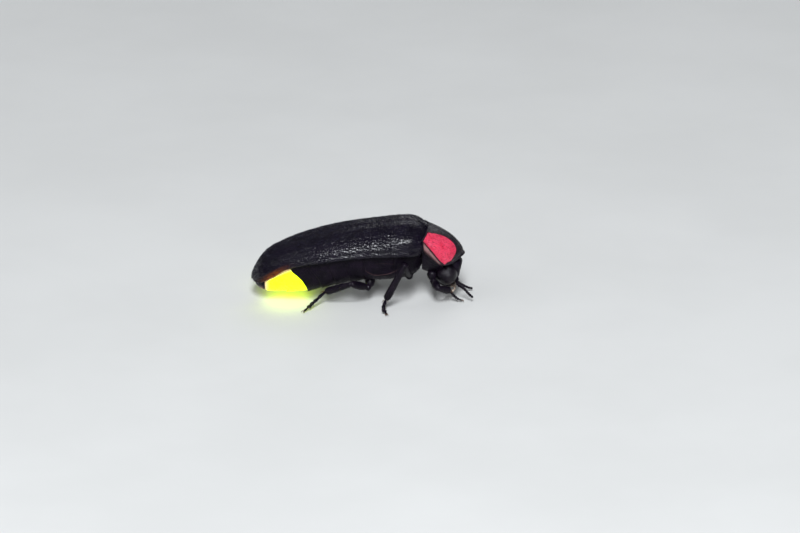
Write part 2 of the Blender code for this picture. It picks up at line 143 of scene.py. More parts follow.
LIP_PALP = ((8.72, 0.10, 0.58), (8.78, 0.14, 0.46), (8.84, 0.14, 0.34))

# Legs: (share of length, radius) for each length, then the foot joints' ends and radii.
HIP = ((0, 0.28), (0.4, 0.23), (1, 0.15))
HIP_JOINT = ((0, 0.14), (0.5, 0.155), (1, 0.115))
THIGH = ((0, 0.12), (0.25, 0.175), (0.55, 0.19), (0.85, 0.15), (1, 0.12))
SHIN = ((0, 0.09), (0.10, 0.12), (0.5, 0.155), (0.85, 0.17), (1, 0.15))
FOOT_ENDS = (0.0, 0.31, 0.51, 0.67, 0.80, 1.0)
FOOT_RADII = (0.084, 0.088, 0.090, 0.0, 0.050)
LOBED_JOINT = 3
FOOT_STEPS = 120

# Where each leg runs: body, hip, knee, ankle, instep and toe.
STANCE = {
    "front_right": (
        (8.00, -0.42, 1.42), (8.08, -0.54, 0.96), (8.28, -1.30, 0.88),
        (8.84, -0.76, 0.56), (9.06, -0.74, 0.26), (9.34, -0.74, 0.10),
    ),
    "front_left": (
        (8.00, 0.42, 1.42), (8.10, 0.58, 0.72), (8.30, 1.52, 1.30),
        (8.66, 1.44, 0.34), (8.86, 1.50, 0.18), (9.20, 1.60, 0.10),
    ),
    "middle_right": (
        (6.95, -0.46, 1.42), (7.03, -0.88, 1.26), (6.82, -1.90, 2.18),
        (5.98, -1.62, 0.44), (5.87, -2.06, 0.22), (6.02, -2.48, 0.10),
    ),
    "middle_left": (
        (6.95, 0.46, 1.42), (7.00, 0.88, 1.20), (6.52, 1.90, 1.90),
        (5.66, 1.94, 0.42), (5.54, 2.20, 0.20), (5.38, 2.60, 0.10),
    ),
    "hind_right": (
        (5.30, -0.44, 1.10), (5.24, -0.78, 0.72), (4.46, -1.42, 1.12),
        (3.28, -1.02, 0.60), (2.86, -1.44, 0.34), (2.38, -2.08, 0.10),
    ),
    "hind_left": (
        (5.30, 0.44, 1.10), (5.24, 0.78, 0.72), (4.50, 1.80, 1.30),
        (3.30, 1.72, 0.42), (2.86, 1.96, 0.22), (2.26, 2.30, 0.10),
    ),
}
# Feelers, for the left side, from root to tip.
FEELERS = {
    "right": (
        (9.13, 0.17, 1.04), (9.14, 0.34, 0.84), (9.20, 0.42, 0.73),
        (9.42, 0.52, 0.61), (9.72, 0.72, 0.34), (9.85, 0.81, 0.26),
    ),
    "left": (
        (9.13, 0.17, 1.04), (9.12, 0.36, 0.82), (9.12, 0.44, 0.64),
        (9.30, 0.50, 0.44), (9.70, 0.64, 0.19), (9.86, 0.70, 0.13),
    ),
}
FEELER_JOINTS = (0.26, 0.11) + (0.14,) * 8 + (0.17,)
FEELER_STEPS = 240

# Ways that hairs lie.
TO_TAIL = (-1.0, 0.0, -0.25)
TO_GROUND = (-0.25, 0.0, -1.0)

# Camera: the view from the animal's right side, a little above it.
PHOTO_WIDTH = 800
PHOTO_HEIGHT = 533
PIXELS_PER_MM = 22.4
TAIL_PIXEL = 252.0
GROUND_PIXEL = 296.6
VIEW_AZIMUTH = 0.0
VIEW_ELEVATION = 20.0
LENS = 200.0
SENSOR = 36.0

# Lamps, in metres: name, place, width, height, watts and colour.
LAMPS = (
    ("key", (0.00, -0.18, 0.165), 0.05, 0.13, 0.85, (0.93, 0.96, 1.0)),
    ("fill", (-0.20, -0.06, 0.20), 0.20, 0.20, 0.12, (0.92, 0.95, 1.0)),
    ("back", (0.05, 0.24, 0.16), 0.16, 0.16, 0.16, (0.95, 0.97, 1.0)),
)


def curve(knots, at):
    """Values on a smooth curve through (place, value) knots, with no overshoot."""
    places, values = np.array(knots, float).T
    at = np.clip(np.asarray(at, float), places[0], places[-1])
    widths = np.diff(places)
    slopes = np.diff(values) / widths
    product = slopes[:-1] * slopes[1:]
    total = np.where(product > 0, slopes[:-1] + slopes[1:], 1.0)
    inner = np.where(product > 0, 2 * product / total, 0.0)
    tangents = np.concatenate([slopes[:1], inner, slopes[-1:]])
    i = np.clip(np.searchsorted(places, at, side="right") - 1, 0, len(widths) - 1)
    t = (at - places[i]) / widths[i]
    low = (2 * t**3 - 3 * t**2 + 1) * values[i] + (t**3 - 2 * t**2 + t) * widths[i] * tangents[i]
    high = (3 * t**2 - 2 * t**3) * values[i + 1] + (t**3 - t**2) * widths[i] * tangents[i + 1]
    return low + high


def ramp(at, low, high):
    """0 below low, 1 above high and a smooth step between them."""
    t = np.clip((np.asarray(at, float) - low) / (np.asarray(high) - low), 0.0, 1.0)
    return t * t * (3 - 2 * t)


def mix(a, b, t):
    return a + (b - a) * t


def hump(at, centre, width):
    """A smooth bump of height 1 at a centre."""
    return np.exp(-(((at - centre) / width) ** 2))


def power(value, exponent):
    """A power that keeps the sign."""
    return np.sign(value) * np.abs(value) ** exponent


def grid_normals(points):
    """Unit normals of a grid of points."""
    along = np.gradient(points, axis=0)
    across = np.gradient(points, axis=1)
    normals = np.cross(along, across)
    return normals / np.maximum(np.linalg.norm(normals, axis=2, keepdims=True), 1e-9)


class Builder:
    """Collects the closed patches of one piece, each in its own cell of the bake map."""

    def __init__(self, name, patches=1):
        self.name = name
        self.columns = math.ceil(math.sqrt(patches))
        self.used = 0
        self.points = []
        self.tones = []
        self.faces = []
        self.maps = []
        self.slots = []
        self.count = 0

    def cell(self):
        """Corner and size of the next free cell of the map."""
        row, column = divmod(self.used, self.columns)
        self.used += 1
        size = 1.0 / self.columns
        return column * size + 0.02 * size, row * size + 0.02 * size, size * 0.96

    def add(self, points, faces, uvs, tones, slot):
        """Add one closed patch, turned so that its faces point out."""
        points = np.asarray(points, float)
        volume = 0.0
        for face in faces:
            a = points[face[0]]
            for b, c in zip(face[1:], face[2:]):
                volume += np.dot(a, np.cross(points[b], points[c]))
        for face, uv in zip(faces, uvs):
            if volume < 0:
                face = face[::-1]
                uv = uv[::-1]
            self.faces.append([index + self.count for index in face])
            self.maps.append(uv)
            self.slots.append(slot)
        self.points.append(points)
        tones = np.asarray(tones, float).reshape(-1)
        self.tones.append(np.broadcast_to(tones, (len(points),)).copy())
        self.count += len(points)

    def tube(self, rings, tones=0.0, slot=0):
        """A closed body through rings of points, closed by a fan at each end."""
        rings = np.asarray(rings, float)
        rows, count, _ = rings.shape
        u0, v0, size = self.cell()
        points = list(rings.reshape(-1, 3)) + [rings[0].mean(axis=0), rings[-1].mean(axis=0)]
        if np.ndim(tones):
            ends = [np.mean(tones[0]), np.mean(tones[-1])]
            tones = np.concatenate([np.asarray(tones).reshape(-1), ends])
        faces = []
        uvs = []

        def at(r, k):
            return (u0 + size * mix(0.05, 0.95, r / (rows - 1)), v0 + size * k / count)

        for r in range(rows - 1):
            for k in range(count):
                a = r * count + k
                b = r * count + (k + 1) % count
                faces.append([a, b, b + count, a + count])
                uvs.append([at(r, k), at(r, k + 1), at(r + 1, k + 1), at(r + 1, k)])
        for row, centre, edge in ((0, rows * count, 0.0), (rows - 1, rows * count + 1, 1.0)):
            for k in range(count):
                a = row * count + k
                b = row * count + (k + 1) % count
                faces.append([a, centre, b] if row == 0 else [a, b, centre])
                middle = (u0 + size * edge, v0 + size * (k + 0.5) / count)
                corners = [at(row, k), middle, at(row, k + 1)]
                uvs.append(corners if row == 0 else [corners[0], corners[2], corners[1]])
        self.add(points, faces, uvs, tones, slot)

    def shell(self, outer, inner, tones=0.0, slot=0):
        """A thin closed plate between an outer and an inner grid of points."""
        rows, columns, _ = outer.shape
        u0, v0, size = self.cell()
        count = rows * columns
        points = np.concatenate([outer.reshape(-1, 3), inner.reshape(-1, 3)])
        if np.ndim(tones):
            tones = np.concatenate([np.asarray(tones).reshape(-1)] * 2)
        faces = []
        uvs = []

        def at(i, j, layer):
            u = 0.49 * (i / (rows - 1)) + layer * 0.5
            return (u0 + size * u, v0 + size * j / (columns - 1))

        for i in range(rows - 1):
            for j in range(columns - 1):
                a = i * columns + j
                quad = [a, a + 1, a + columns + 1, a + columns]
                spots = ((i, j), (i, j + 1), (i + 1, j + 1), (i + 1, j))
                faces.append(quad)
                uvs.append([at(*spot, 0) for spot in spots])
                faces.append([count + index for index in reversed(quad)])
                uvs.append([at(*spot, 1) for spot in reversed(spots)])
        edge = [(0, j) for j in range(columns - 1)]
        edge += [(i, columns - 1) for i in range(rows - 1)]
        edge += [(rows - 1, j) for j in range(columns - 1, 0, -1)]
        edge += [(i, 0) for i in range(rows - 1, 0, -1)]
        for (i, j), (k, m) in zip(edge, edge[1:] + edge[:1]):
            a = i * columns + j
            b = k * columns + m
            faces.append([b, a, count + a, count + b])
            uvs.append([at(k, m, 0), at(i, j, 0), at(i, j, 0), at(k, m, 0)])
        self.add(points, faces, uvs, tones, slot)

    def build(self, materials, nodes=(), sharp=50.0):
        """Make the object, ride it on the body and let it stand for its nodes."""
        mesh = bpy.data.meshes.new(self.name)
        points = np.concatenate(self.points)
        points[:, 0] -= ORIGIN_X
        mesh.from_pydata((points * MM).tolist(), [], self.faces)
        layer = mesh.uv_layers.new(name="OFBake")
        flat = np.array([spot for uv in self.maps for spot in uv], dtype=np.float32)
        layer.data.foreach_set("uv", flat.ravel())
        tone = mesh.attributes.new("tone", "FLOAT", "POINT")
        tone.data.foreach_set("value", np.concatenate(self.tones).astype(np.float32))
        for material in materials:
            mesh.materials.append(material)
        mesh.polygons.foreach_set("material_index", self.slots)
        mesh.shade_smooth()
        mesh.set_sharp_from_angle(angle=math.radians(sharp))
        made = bpy.data.objects.new(self.name, mesh)
        bpy.context.scene.collection.objects.link(made)
        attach(made, "root")
        if nodes:
            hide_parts(*nodes)
        return made


def path_frames(path, up):
    """Tangent, side and top directions along a path."""
    path = np.asarray(path, float)
    along = np.gradient(path, axis=0)
    along /= np.linalg.norm(along, axis=1, keepdims=True)
    side = np.cross(along, np.broadcast_to(np.asarray(up, float), along.shape))
    side /= np.maximum(np.linalg.norm(side, axis=1, keepdims=True), 1e-9)
    top = np.cross(side, along)
    return along, side, top


def rod(path, radii, sides=12, flat=1.0, up=(0.0, 0.0, 1.0)):
    """Rings of a round or flattened rod along a path."""
    path = np.asarray(path, float)
    radii = np.asarray(radii, float)
    _, side, top = path_frames(path, up)
    angles = 2 * np.pi * np.arange(sides) / sides
    spread = radii[:, None, None]
    across = np.cos(angles)[None, :, None] * side[:, None, :] * spread
    upward = np.sin(angles)[None, :, None] * top[:, None, :] * spread * flat
    return path[:, None, :] + across + upward


def limb(start, end, radii, rings=14, bow=(0.0, 0.0, 0.0), sides=14, flat=1.0, up=(0.0, 0.0, 1.0)):
    """Rings of a limb with round ends: radii are (share of length, radius) knots."""
    start = np.asarray(start, float)
    end = np.asarray(end, float)
    share = 0.5 - 0.5 * np.cos(np.pi * np.arange(rings) / (rings - 1))
    arch = (4 * share * (1 - share))[:, None]
    path = start + (end - start) * share[:, None] + np.asarray(bow) * arch
    length = np.linalg.norm(end - start)
    sizes = curve(radii, share)
    first = radii[0][1]
    last = radii[-1][1]
    from_start = np.clip(share * length / max(first, 1e-6), 0, 1)
    from_end = np.clip((1 - share) * length / max(last, 1e-6), 0, 1)
    rounded = np.sqrt(1 - (1 - from_start) ** 2) * np.sqrt(1 - (1 - from_end) ** 2)
    return rod(path, np.maximum(sizes * rounded, first * 0.12), sides, flat, up)


def bent_path(knots, steps):
    """Points evenly spread along a smooth curve through three-dimensional knots."""
    knots = np.asarray(knots, float)
    lengths = np.concatenate([[0.0], np.cumsum(np.linalg.norm(np.diff(knots, axis=0), axis=1))])
    at = np.linspace(0, lengths[-1], steps)
    return np.stack([curve(np.stack([lengths, knots[:, axis]], 1), at) for axis in range(3)], 1)


def node_material(name, colour, roughness, specular=0.5):
    """A material with its shader, ready for more nodes."""
    made = bpy.data.materials.new(name)
    made.use_nodes = True
    shader = made.node_tree.nodes["Principled BSDF"]
    shader.inputs["Base Color"].default_value = (*colour, 1.0)
    shader.inputs["Roughness"].default_value = roughness
    shader.inputs["Specular IOR Level"].default_value = specular
    return made, made.node_tree, shader


def object_place(tree):
    return tree.nodes.new("ShaderNodeTexCoord").outputs["Object"]


def noise(tree, per_mm, detail=3.0):
    """A noise pattern with about so many features to the millimetre."""
    made = tree.nodes.new("ShaderNodeTexNoise")
    made.inputs["Scale"].default_value = per_mm / MM
    made.inputs["Detail"].default_value = detail
    made.inputs["Roughness"].default_value = 0.55
    tree.links.new(object_place(tree), made.inputs["Vector"])
    return made.outputs["Fac"]


def cells(tree, per_mm, randomness=1.0):
    """A pattern of cells with about so many to the millimetre."""
    made = tree.nodes.new("ShaderNodeTexVoronoi")
    made.inputs["Scale"].default_value = per_mm / MM
    made.inputs["Randomness"].default_value = randomness
    tree.links.new(object_place(tree), made.inputs["Vector"])
    return made.outputs["Distance"]


def spread(tree, value, low, high, to_low, to_high):
    """A value moved from one range to another."""
    made = tree.nodes.new("ShaderNodeMapRange")
    made.interpolation_type = "SMOOTHSTEP"
    made.inputs["From Min"].default_value = low
    made.inputs["From Max"].default_value = high
    made.inputs["To Min"].default_value = to_low
    made.inputs["To Max"].default_value = to_high
    tree.links.new(value, made.inputs["Value"])
    return made.outputs["Result"]


def blend_colours(tree, factor, first, second):
    """One colour where the factor is 0 and another where it is 1; either may be a socket."""
    made = tree.nodes.new("ShaderNodeMix")
    made.data_type = "RGBA"
    tree.links.new(factor, made.inputs["Factor"])
    for name, colour in (("A", first), ("B", second)):
        socket = [s for s in made.inputs if s.name == name and s.type == "RGBA"][0]
        if isinstance(colour, tuple):
            socket.default_value = (*colour, 1.0)
        else:
            tree.links.new(colour, socket)
    return [s for s in made.outputs if s.type == "RGBA"][0]


def add_values(tree, first, second):
    made = tree.nodes.new("ShaderNodeMath")
    made.operation = "ADD"
    tree.links.new(first, made.inputs[0])
    tree.links.new(second, made.inputs[1])
    return made.outputs[0]


def soft_noise(tree, per_mm, detail=3.0, low=0.0, high=1.0):
    """Noise stretched to fill a range."""
    return spread(tree, noise(tree, per_mm, detail), 0.3, 0.7, low, high)


def mottled(tree, per_mm, detail, first, second):
    """Two colours in soft patches."""
    return blend_colours(tree, soft_noise(tree, per_mm, detail), first, second)


def pits(tree, per_mm, edge=0.5):
    """Small pits, as heights from 0 to 1."""
    return spread(tree, cells(tree, per_mm), 0.05, edge, 0.0, 1.0)


def relief(tree, shader, layers):
    """Bump from (height socket, depth in millimetres) layers, finest last."""
    below = None
    for height, depth in layers:
        bump = tree.nodes.new("ShaderNodeBump")
        bump.inputs["Distance"].default_value = depth * MM
        bump.inputs["Strength"].default_value = 1.0
        tree.links.new(height, bump.inputs["Height"])
        if below:
            tree.links.new(below, bump.inputs["Normal"])
        below = bump.outputs["Normal"]
    tree.links.new(below, shader.inputs["Normal"])


def tone_value(tree):
    """The marking value that each point of a mesh holds."""
    made = tree.nodes.new("ShaderNodeAttribute")
    made.attribute_name = "tone"
    return made.outputs["Fac"]


def shell_material():
    """Black wing case: fine pits, a faint violet cast, and painted lantern light on its edge by
    the lantern: a brown tint and a faint orange glow.
    """
    made, tree, shader = node_material("case_black", (0.010, 0.008, 0.013), 0.34, 0.30)
    colour = mottled(tree, 1.3, 4.0, (0.0020, 0.0010, 0.0044), (0.0050, 0.0026, 0.0095))
    # Painted lantern light: the marked edge is tinted brown, as if lit through from the lantern.
    edge = blend_colours(tree, tone_value(tree), colour, (0.12, 0.030, 0.006))
    tree.links.new(edge, shader.inputs["Base Color"])
    tree.links.new(soft_noise(tree, 9.0, low=0.15, high=0.26), shader.inputs["Roughness"])
    fine = noise(tree, 45.0, 2.0)
    bumps = ((noise(tree, 2.5, 2.0), 0.01), (pits(tree, 13.0, 0.45), 0.012), (fine, 0.001))
    relief(tree, shader, bumps)
    # Painted lantern light: a faint orange glow on the same edge, though the case gives no light
    # of its own.
    glow = blend_colours(tree, tone_value(tree), (0.0, 0.0, 0.0), (1.0, 0.26, 0.0))
    tree.links.new(glow, shader.inputs["Emission Color"])
    shader.inputs["Emission Strength"].default_value = 0.10
    return made


def shield_material():
    """Pink shield with a black band: tone 1 is black, 0 is pink."""
    made, tree, shader = node_material("shield_pink", (0.80, 0.06, 0.12), 0.42, 0.5)
    uneven = spread(tree, noise(tree, 9.0, 4.0), 0.2, 0.8, -0.16, 0.16)
    ragged = add_values(tree, tone_value(tree), uneven)
    dark = spread(tree, ragged, 0.34, 0.64, 0.0, 1.0)
    pink = mottled(tree, 3.0, 5.0, (0.66, 0.026, 0.074), (0.76, 0.062, 0.130))
    specks = spread(tree, cells(tree, 9.0), 0.0, 0.16, 0.55, 0.0)
    pink = blend_colours(tree, specks, pink, (0.45, 0.010, 0.035))
    banded = blend_colours(tree, dark, pink, (0.009, 0.006, 0.010))
    tree.links.new(banded, shader.inputs["Base Color"])
    fine = noise(tree, 45.0, 2.0)
    bumps = ((noise(tree, 3.0, 2.0), 0.02), (pits(tree, 14.0, 0.45), 0.010), (fine, 0.002))
    relief(tree, shader, bumps)
    shader.inputs["Subsurface Weight"].default_value = 0.25
    shader.inputs["Subsurface Radius"].default_value = (1.0, 0.35, 0.25)
    shader.inputs["Subsurface Scale"].default_value = 0.08 * MM
    return made


def body_material():
    """Dull black body, with tone 1 as pale pinkish skin; the side rims take a little of it as a
    painted highlight.
    """
    made, tree, shader = node_material("body_black", (0.008, 0.006, 0.010), 0.42, 0.10)
    black = mottled(tree, 2.0, 4.0, (0.0022, 0.0011, 0.0042), (0.0075, 0.0040, 0.0105))
    skin = blend_colours(tree, tone_value(tree), black, (0.36, 0.19, 0.19))
    tree.links.new(skin, shader.inputs["Base Color"])
    tree.links.new(soft_noise(tree, 8.0, low=0.28, high=0.50), shader.inputs["Roughness"])
    fine = noise(tree, 60.0, 2.0)
    relief(tree, shader, ((noise(tree, 3.0, 3.0), 0.05), (pits(tree, 16.0), 0.012), (fine, 0.002)))
    return made


def limb_material():
    """Black legs and feelers, a little glossy, with tone 1 as brown claws and spurs."""
    made, tree, shader = node_material("limb_black", (0.008, 0.006, 0.010), 0.36, 0.14)
    black = mottled(tree, 4.0, 4.0, (0.0024, 0.0013, 0.0042), (0.0080, 0.0046, 0.0100))
    skin = blend_colours(tree, tone_value(tree), black, (0.14, 0.07, 0.035))
    tree.links.new(skin, shader.inputs["Base Color"])
    tree.links.new(soft_noise(tree, 12.0, low=0.24, high=0.44), shader.inputs["Roughness"])
    relief(tree, shader, ((pits(tree, 30.0), 0.004), (noise(tree, 60.0, 2.0), 0.002)))
    return made


def eye_material():
    """Near-black eye with very small, even facets."""
    made, tree, shader = node_material("eye_black", (0.006, 0.005, 0.007), 0.16, 0.25)
    black = mottled(tree, 3.0, 3.0, (0.0022, 0.0013, 0.0036), (0.0070, 0.0036, 0.0080))
    tree.links.new(black, shader.inputs["Base Color"])
    tree.links.new(soft_noise(tree, 10.0, low=0.12, high=0.22), shader.inputs["Roughness"])
    facets = spread(tree, cells(tree, 32.0, 0.12), 0.0, 0.7, 1.0, 0.0)
    relief(tree, shader, ((facets, 0.008),))
    return made


def lantern_material():
    """Thin cream skin lit from inside: tone 0.5 is the dim pale end and 1 the black back."""
    made, tree, shader = node_material("lantern_lit", (0.80, 0.76, 0.30), 0.45, 0.4)
    fading = spread(tree, tone_value(tree), 0.0, 0.5, 0.0, 1.0)
    backed = spread(tree, tone_value(tree), 0.55, 0.95, 0.0, 1.0)
    skin = mottled(tree, 5.0, 4.0, (0.70, 0.72, 0.004), (0.78, 0.80, 0.012))
    skin = blend_colours(tree, fading, skin, (0.60, 0.50, 0.34))
    skin = blend_colours(tree, backed, skin, (0.010, 0.008, 0.012))
    tree.links.new(skin, shader.inputs["Base Color"])
    hot = mottled(tree, 5.0, 4.0, (0.62, 0.94, 0.0), (0.74, 1.0, 0.0))
    dim = blend_colours(tree, fading, hot, (0.20, 0.13, 0.03))
    glow = blend_colours(tree, backed, dim, (0.0, 0.0, 0.0))
    tree.links.new(glow, shader.inputs["Emission Color"])
    shader.inputs["Emission Strength"].default_value = 2.0
    relief(tree, shader, ((noise(tree, 5.0, 3.0), 0.02), (cells(tree, 20.0), 0.006)))
    return made


def mouth_material():
    """Dark brown mouthparts, with tone 1 as the pale lip and palp tips."""
    made, tree, shader = node_material("mouth_brown", (0.05, 0.025, 0.015), 0.38, 0.5)
    brown = mottled(tree, 6.0, 4.0, (0.020, 0.011, 0.009), (0.060, 0.030, 0.018))
    skin = blend_colours(tree, tone_value(tree), brown, (0.55, 0.44, 0.34))
    tree.links.new(skin, shader.inputs["Base Color"])
    relief(tree, shader, ((noise(tree, 12.0, 3.0), 0.006), (cells(tree, 40.0), 0.002)))
    return made


def hair_material(name, dark, light, roughness):
    made, tree, shader = node_material(name, dark, roughness, 0.16)
    tree.links.new(mottled(tree, 3.0, 2.0, dark, light), shader.inputs["Base Color"])
    relief(tree, shader, ((noise(tree, 90.0, 1.0), 0.001),))
    return made


def case_section(x):
    """Lower edge, top and half width of the wing cases at x."""
    rounding = np.sqrt(np.maximum(1 - (1 - np.minimum(x / APEX_LENGTH, 1.0)) ** 2, 0.0))
    low = curve(MARGIN_HEIGHT, x)
    high = mix(low, curve(SUTURE_HEIGHT, x), rounding**APEX_SLOPE)
    return low, high, np.maximum(curve(CASE_HALF_WIDTH, x) * rounding, 0.02), rounding


def case_surface(station, share, side):
    """Outer surface of one wing case.

    station runs 0 to 1 from tail to front. share runs 0 to 1 from the seam to the margin,
    and on to 1 + FOLD round the rim that is folded in below it.
    """
    reach = CASE_FRONT * station
    around = np.minimum(share, 1.0)
    front = -0.05 * around**2 - 0.28 * around**5
    x = reach + front * ramp(reach, 6.0, CASE_FRONT)
    low, high, half_width, rounding = case_section(x)
    angle = around * np.pi / 2
    lift = 0.0
    fade = ramp(x, 0.5, 1.6) * (1 - ramp(x, 6.2, 7.3))
    for rib in RIB_ANGLES:
        lift = lift + RIB_HEIGHT * hump(np.degrees(angle), rib, RIB_WIDTH) * fade
    lift = lift + 0.06 * hump(x, 7.05, 0.38) * hump(around, 0.64, 0.12)
    rim = 0.024 * ramp(around, 0.93, 0.99) - 0.011 * hump(around, 0.90, 0.025)
    lift = lift + rim * rounding
    from_seam = around * half_width
    bead = 0.022 * hump(from_seam, 0.03, 0.05) - 0.016 * hump(from_seam, 0.16, 0.05)
    y = mix(SUTURE_GAP, half_width + lift, np.sin(angle) ** 0.93)
    z = low + (high - low + lift + bead * rounding) * np.maximum(np.cos(angle), 0.0) ** 0.93
    turn = np.clip((reach - SHOULDER_START) / (CASE_FRONT - SHOULDER_START), 0.0, 0.985)
    tuck = 1 - SHOULDER_TUCK * (1 - np.sqrt(1 - turn**2))
    y = SUTURE_GAP + (y - SUTURE_GAP) * tuck
    z = SHOULDER_CENTRE + (z - SHOULDER_CENTRE) * np.where(z > SHOULDER_CENTRE, tuck, 1.0)
    fold = np.clip((share - 1.0) / FOLD, 0.0, 1.0)
    roll = np.minimum(fold / 0.5, 1.0) * np.pi / 2
    size = FOLD_RADIUS * rounding
    inward = FOLD_DEPTH * rounding * np.clip((fold - 0.5) / 0.5, 0.0, 1.0)
    y = y - size * (1 - np.cos(roll)) - inward
    z = z - size * np.sin(roll)
    return np.stack([x + 0 * z, side * np.maximum(y, SUTURE_GAP), z], axis=-1)


def roughen(points, normals, mask, seed):
    """Fine uneven pits: a sum of short waves that run in scattered directions."""
    draw = np.random.default_rng(seed)
    lift = 0.0
    for _ in range(9):
        way = draw.normal(size=3)
        way *= 2 * np.pi / (np.linalg.norm(way) * PIT_SPACING * draw.uniform(0.8, 1.3))
        lift = lift + np.sin(points @ way + draw.uniform(0, 2 * np.pi))
    return points + normals * (lift * mask * PIT_DEPTH)[..., None]


def wing_case(name, side, node, material):
    """One wing case: a thin vault with a folded rim, faint ribs and fine pits."""
    rows = 200
    columns = 88
    start = APEX_LENGTH / CASE_FRONT * (1 - np.cos(np.radians(np.linspace(3, 88, 34))))
    shoulder = SHOULDER_START / CASE_FRONT
    end = shoulder + (1 - shoulder) * np.sin(np.radians(np.linspace(0, 90, 22)))
    station = np.concatenate([start, np.linspace(start[-1], shoulder, rows)[1:-1], end])[:, None]
    folded = 1 + FOLD * np.linspace(0, 1, 7)[1:]
    share = np.concatenate([np.linspace(0, 1, columns), folded])[None, :]
    outer = case_surface(station, share, side)
    normals = grid_normals(outer)
    normals *= np.sign(np.sum(normals * (outer - np.array([4.0, 0.0, 1.2]))))
    pitted = ramp(share, 0.0, 0.04) * (1 - ramp(share, 0.93, 0.99)) * ramp(station, 0.02, 0.08)
    outer = roughen(outer, normals, pitted, 5 + side)
    thick = CASE_THICK * np.minimum(1.0, station * CASE_FRONT * 2.5 + 0.15)
    inner = outer - normals * thick[..., None]
    inner[..., 1] = side * np.maximum(side * inner[..., 1], SUTURE_GAP)
    # Painted lantern light: marks the case's edge near the lantern, where the lantern's light is
    # painted on as colour and glow.
    painted_lantern_light = hump(outer[..., 0], 1.02, 0.46) * ramp(share + 0 * outer[..., 0], 0.80, 1.0)
    piece = Builder(name)
    piece.shell(outer, inner, painted_lantern_light)
    return piece.build([material], [node], 60)


def scutellum(name, material):
    """The small triangle where the wing cases meet the shield."""
    rows = 16
    columns = 17
    u = np.linspace(0, 1, rows)[:, None]
    v = np.linspace(-1, 1, columns)[None, :]
    half = 0.25 * (1 - u) ** 0.8 + 0.012
    x = 7.86 - 0.44 * u + 0 * v
    y = v * half
    z = curve(SUTURE_HEIGHT, x) - 0.02 - 0.03 * v**2 + 0 * u - 0.03 * ramp(x, 7.80, 7.86)
    outer = np.stack([x, y, z + 0.02], axis=-1)
    inner = outer - np.array([0.0, 0.0, 0.09])
    piece = Builder(name)
    piece.shell(outer, inner)
    return piece.build([material], (), 60)


def shield_surface(along, across):
    """Places on the shield: along from back to front, across from side to side."""
    place = along * (len(SHIELD_MIDDLE) - 1)
    middle = [curve([(k, p[axis]) for k, p in enumerate(SHIELD_MIDDLE)], place) for axis in (0, 1)]
    edge = [curve([(k, p[axis]) for k, p in enumerate(SHIELD_SIDE)], place) for axis in (0, 1)]
    wide = np.abs(across)
    x = mix(middle[0], edge[0], wide**2)
    y = across * curve(SHIELD_HALF_WIDTH, along)
    z = mix(middle[1], edge[1], 0.75 * wide**2 + 0.25 * wide**4)
    return np.stack([x, y, z], axis=-1)


def shield(name, material):
    """The shield: a thin domed plate with a fine raised rim and a shallow middle furrow."""
    rows = 90
    columns = 121
    along = np.linspace(0, 1, rows)[:, None] + np.zeros((1, columns))
    across = np.linspace(-1, 1, columns)[None, :] + np.zeros((rows, 1))
    outer = shield_surface(along, across)
    out = outer - np.array(SHIELD_CENTRE)
    out /= np.linalg.norm(out, axis=2, keepdims=True)
    rim = ramp(np.abs(across), 0.93, 0.99) + ramp(along, 0.95, 0.99)
    rim = rim + 0.6 * ramp(1 - along, 0.965, 0.995)
    ditch = hump(np.abs(across), 0.90, 0.035) + hump(along, 0.925, 0.03)
    furrow = hump(across, 0.0, 0.035) * ramp(along, 0.05, 0.2) * (1 - ramp(along, 0.75, 0.9))
    lift = 0.022 * np.minimum(rim, 1.0) - 0.020 * np.minimum(ditch, 1.0) - 0.028 * furrow
    outer = outer + out * lift[..., None]
    inner = outer - out * (SHIELD_THICK * (1 - 0.5 * np.minimum(rim, 1.0)))[..., None]
    band = curve(BAND_HALF_WIDTH, along)
    reach = np.abs(outer[..., 1])
    dark = 1 - ramp(reach, band - 0.05, band + 0.05)
    rim_start = mix(0.72, 0.80, ramp(np.abs(across), 0.45, 0.85))
    rim_start = rim_start - 0.10 * ramp(np.abs(across), 0.80, 0.97)
    dark = np.maximum(dark, ramp(along, rim_start, rim_start + 0.06))
    dark = np.maximum(dark, ramp(1 - along, 0.955, 0.985))
    dark = np.maximum(dark, ramp(np.abs(across), 0.965, 0.99))
    piece = Builder(name)
    piece.shell(outer, inner, dark)
    return piece.build([material], ["pronotum"], 60)


def body_ring(x, lean, swell, shrink=1.0, crease=0.0, sides=48):
    """One ring of the body under the wing cases.

    lean slants it back with height, swell lets it out a little, shrink draws it to its
    middle, and crease is the depth of the fold along its sides.
    """
    angle = 2 * np.pi * np.arange(sides) / sides
    upper = np.sin(angle) > 0

    def heights(px, drop):
        low, high, case_width, _ = case_section(px)
        low = low - drop
        floor = curve(BELLY_HEIGHT, px) - swell
        top = low + 0.45 * (high - low) * ramp(px, 1.0, 2.0)
        lower = low + (low - floor) * power(np.sin(angle), 0.8)
        return np.where(upper, low + (top - low) * np.sin(angle), lower), floor, case_width

    rough_z, floor, _ = heights(np.full(sides, x), 0.0)
    rise = np.clip(rough_z - floor, 0.0, LANTERN_RISE)
    px = x + lean * rise**2 / LANTERN_RISE
    z, floor, case_width = heights(px, 0.03)
    steep = np.degrees(np.arctan2(np.sin(angle), np.abs(np.cos(angle))))
    wide = np.minimum(curve(BODY_HALF_WIDTH, px) + swell, case_width - CASE_THICK - 0.05)
    wide = wide - crease * hump(steep, -24.0, 6.0) + 0.5 * crease * hump(steep, -11.0, 6.0)
    y = np.where(upper, wide * 0.97, wide) * power(np.cos(angle), 0.8)
    middle = 0.5 * (z.max() + z.min())
    return np.stack([px, y * shrink, middle + (z - middle) * shrink], axis=-1)


def rounding_off(gap, reach):
    """How far a ring is drawn in near an end that rounds off over a reach."""
    if not reach:
        return 1.0
    return math.sqrt(max(1 - max(1 - (gap + 0.01) / reach, 0.0) ** 2, 0.0))


